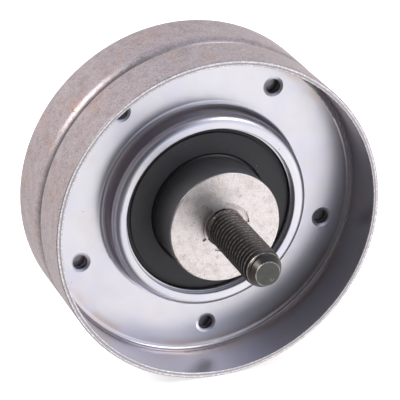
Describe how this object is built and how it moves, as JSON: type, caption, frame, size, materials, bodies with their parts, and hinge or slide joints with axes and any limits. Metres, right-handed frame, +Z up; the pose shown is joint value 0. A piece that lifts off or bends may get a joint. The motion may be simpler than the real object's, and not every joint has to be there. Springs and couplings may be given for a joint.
{
  "type": "belt tensioner idler",
  "caption": "Flat steel idler pulley of pressed halves on a sealed ball bearing, with a spacer and a threaded mounting stud.",
  "frame": {"origin": "on the spin axis, in the pulley's mid-plane where the two pressed halves meet", "axes": "Y is the spin axis, -Y towards the front, where the spacer's mounting face and the threaded stud are; +Z up"},
  "size_m": [0.07, 0.0542, 0.07],
  "materials": {
    "zinc_steel": "satin, pale bluish zinc plating, matt and stained on the belt surface",
    "ring_steel": "ground",
    "ball_steel": "polished",
    "cage_steel": "pressed, as rolled",
    "seal_rubber": "matt black",
    "seal_steel": "plain",
    "spacer_steel": "matt blasted face, turned side",
    "washer_steel": "zinc plated",
    "black_steel": "black phosphate and oil"
  },
  "bodies": {
    "stud": {"mounting_bolt": "black_steel", "spacer": "spacer_steel", "rear_washer": "washer_steel", "bearing_inner_ring": "ring_steel"},
    "pulley": {"pulley_half_front": "zinc_steel", "pulley_half_rear": "zinc_steel", "bearing_outer_ring": "ring_steel", "seal_front_rubber": "seal_rubber", "seal_front_insert": "seal_steel", "seal_rear_rubber": "seal_rubber", "seal_rear_insert": "seal_steel"},
    "cage": {"cage_half_front": "cage_steel", "cage_half_rear": "cage_steel", "cage_rivets": "cage_steel"},
    "ball_1_body": {"ball_1": "ball_steel"},
    "ball_2_body": {"ball_2": "ball_steel"},
    "ball_3_body": {"ball_3": "ball_steel"},
    "ball_4_body": {"ball_4": "ball_steel"},
    "ball_5_body": {"ball_5": "ball_steel"},
    "ball_6_body": {"ball_6": "ball_steel"},
    "ball_7_body": {"ball_7": "ball_steel"},
    "ball_8_body": {"ball_8": "ball_steel"}
  },
  "joints": [
    {"name": "pulley_spin", "type": "hinge", "parent": "stud", "child": "pulley", "pos_m": [0, 0, 0], "axis": [0, 1, 0], "continuous": true},
    {"name": "cage_spin", "type": "hinge", "parent": "stud", "child": "cage", "pos_m": [0, 0, 0], "axis": [0, 1, 0], "continuous": true},
    {"name": "ball_1_spin", "type": "hinge", "parent": "cage", "child": "ball_1_body", "pos_m": [0, 0, 0.01425], "axis": [0, 1, 0], "continuous": true},
    {"name": "ball_2_spin", "type": "hinge", "parent": "cage", "child": "ball_2_body", "pos_m": [0.01008, 0, 0.01008], "axis": [0, 1, 0], "continuous": true},
    {"name": "ball_3_spin", "type": "hinge", "parent": "cage", "child": "ball_3_body", "pos_m": [0.01425, 0, 0], "axis": [0, 1, 0], "continuous": true},
    {"name": "ball_4_spin", "type": "hinge", "parent": "cage", "child": "ball_4_body", "pos_m": [0.01008, 0, -0.01008], "axis": [0, 1, 0], "continuous": true},
    {"name": "ball_5_spin", "type": "hinge", "parent": "cage", "child": "ball_5_body", "pos_m": [0, 0, -0.01425], "axis": [0, 1, 0], "continuous": true},
    {"name": "ball_6_spin", "type": "hinge", "parent": "cage", "child": "ball_6_body", "pos_m": [-0.01008, 0, -0.01008], "axis": [0, 1, 0], "continuous": true},
    {"name": "ball_7_spin", "type": "hinge", "parent": "cage", "child": "ball_7_body", "pos_m": [-0.01425, 0, 0], "axis": [0, 1, 0], "continuous": true},
    {"name": "ball_8_spin", "type": "hinge", "parent": "cage", "child": "ball_8_body", "pos_m": [-0.01008, 0, 0.01008], "axis": [0, 1, 0], "continuous": true}
  ],
  "couplings": [
    {"joint": "cage_spin", "follows": "pulley_spin", "ratio": 0.61837},
    {"joint": "ball_1_spin", "follows": "pulley_spin", "ratio": 1.9937},
    {"joint": "ball_2_spin", "follows": "pulley_spin", "ratio": 1.9937},
    {"joint": "ball_3_spin", "follows": "pulley_spin", "ratio": 1.9937},
    {"joint": "ball_4_spin", "follows": "pulley_spin", "ratio": 1.9937},
    {"joint": "ball_5_spin", "follows": "pulley_spin", "ratio": 1.9937},
    {"joint": "ball_6_spin", "follows": "pulley_spin", "ratio": 1.9937},
    {"joint": "ball_7_spin", "follows": "pulley_spin", "ratio": 1.9937},
    {"joint": "ball_8_spin", "follows": "pulley_spin", "ratio": 1.9937}
  ]
}
